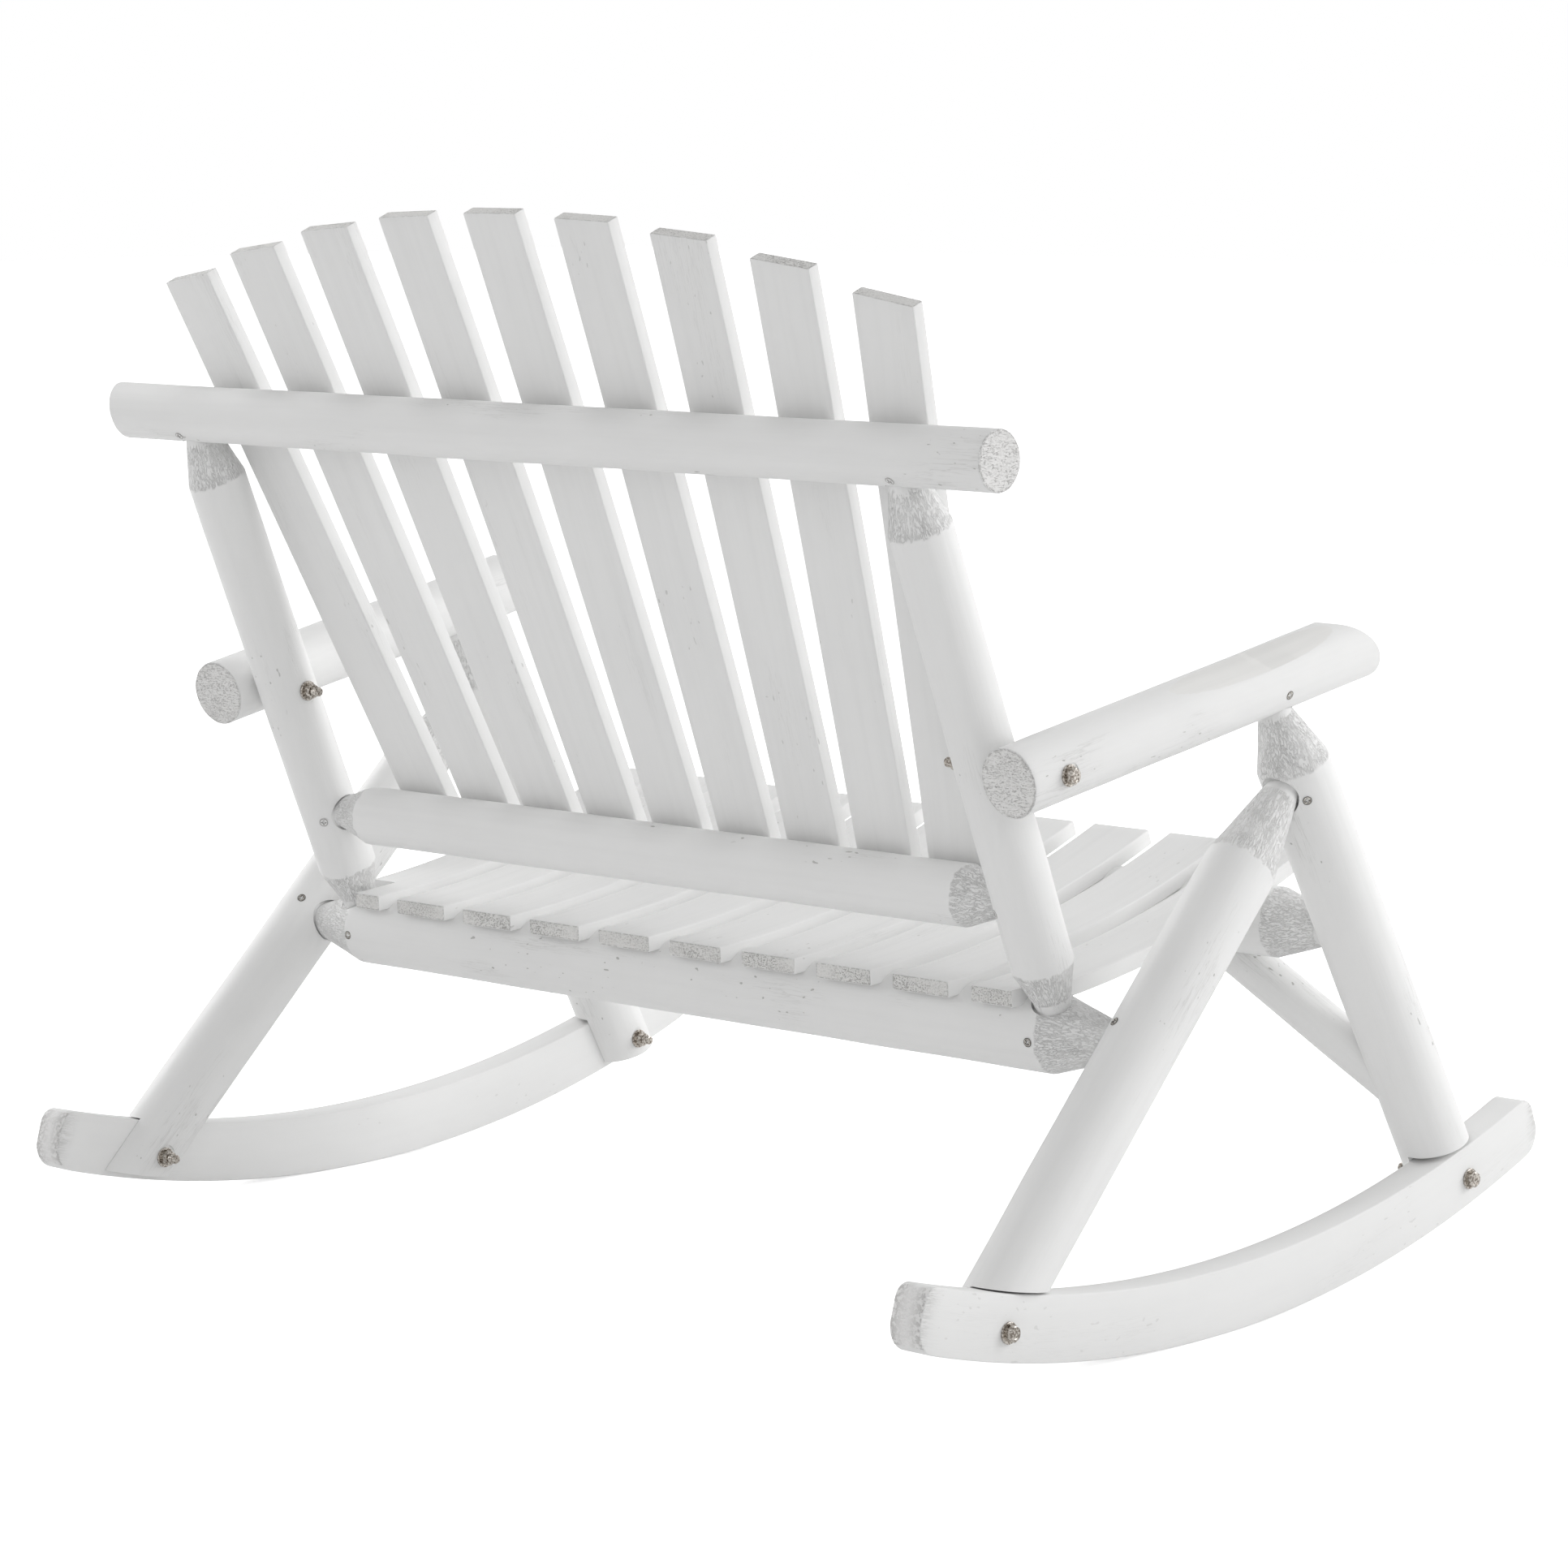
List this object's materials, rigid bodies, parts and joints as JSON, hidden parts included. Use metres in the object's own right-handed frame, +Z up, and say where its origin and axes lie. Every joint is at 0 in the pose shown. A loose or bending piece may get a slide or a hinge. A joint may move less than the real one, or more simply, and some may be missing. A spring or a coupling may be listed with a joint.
{
  "type": "rocking bench",
  "caption": "White painted log rocking bench with a fanned slat back, a dished slat seat, log armrests and A-shaped legs on two curved wooden runners.",
  "frame": {"origin": "on the floor, in the middle of the bench's outer box, seen from above", "axes": "+X across the bench to the sitter's left, -Y the way the sitter looks, +Z up"},
  "size_m": [1.2632, 0.9596, 1.0717],
  "materials": {
    "painted_logs": "white wash paint over peeled softwood logs, matt, knife marks on the carved cones",
    "painted_boards": "white wash paint over sawn softwood boards, matt, grain showing",
    "painted_runners": "white wash paint over sawn softwood, matt, rough end grain",
    "bolt_steel": "zinc plated or stainless, satin",
    "screw_steel": "satin, cross recess heads"
  },
  "bodies": {
    "root": {"armrest_bolts": "bolt_steel", "armrest_left": "painted_logs", "armrest_right": "painted_logs", "back_post_left": "painted_logs", "back_post_right": "painted_logs", "back_slat_1": "painted_boards", "back_slat_2": "painted_boards", "back_slat_3": "painted_boards", "back_slat_4": "painted_boards", "back_slat_5": "painted_boards", "back_slat_6": "painted_boards", "back_slat_7": "painted_boards", "back_slat_8": "painted_boards", "back_slat_9": "painted_boards", "bolt_nuts": "bolt_steel", "bolt_washers": "bolt_steel", "frame_screws": "screw_steel", "front_brace_left": "painted_logs", "front_brace_right": "painted_logs", "front_leg_left": "painted_logs", "front_leg_right": "painted_logs", "lower_back_rail": "painted_logs", "rear_leg_left": "painted_logs", "rear_leg_right": "painted_logs", "runner_bolts": "bolt_steel", "runner_left": "painted_runners", "runner_right": "painted_runners", "seat_front_rail": "painted_logs", "seat_rear_rail": "painted_logs", "seat_slat_1": "painted_boards", "seat_slat_10": "painted_boards", "seat_slat_2": "painted_boards", "seat_slat_3": "painted_boards", "seat_slat_4": "painted_boards", "seat_slat_5": "painted_boards", "seat_slat_6": "painted_boards", "seat_slat_7": "painted_boards", "seat_slat_8": "painted_boards", "seat_slat_9": "painted_boards", "top_back_rail": "painted_logs"}
  },
  "joints": []
}
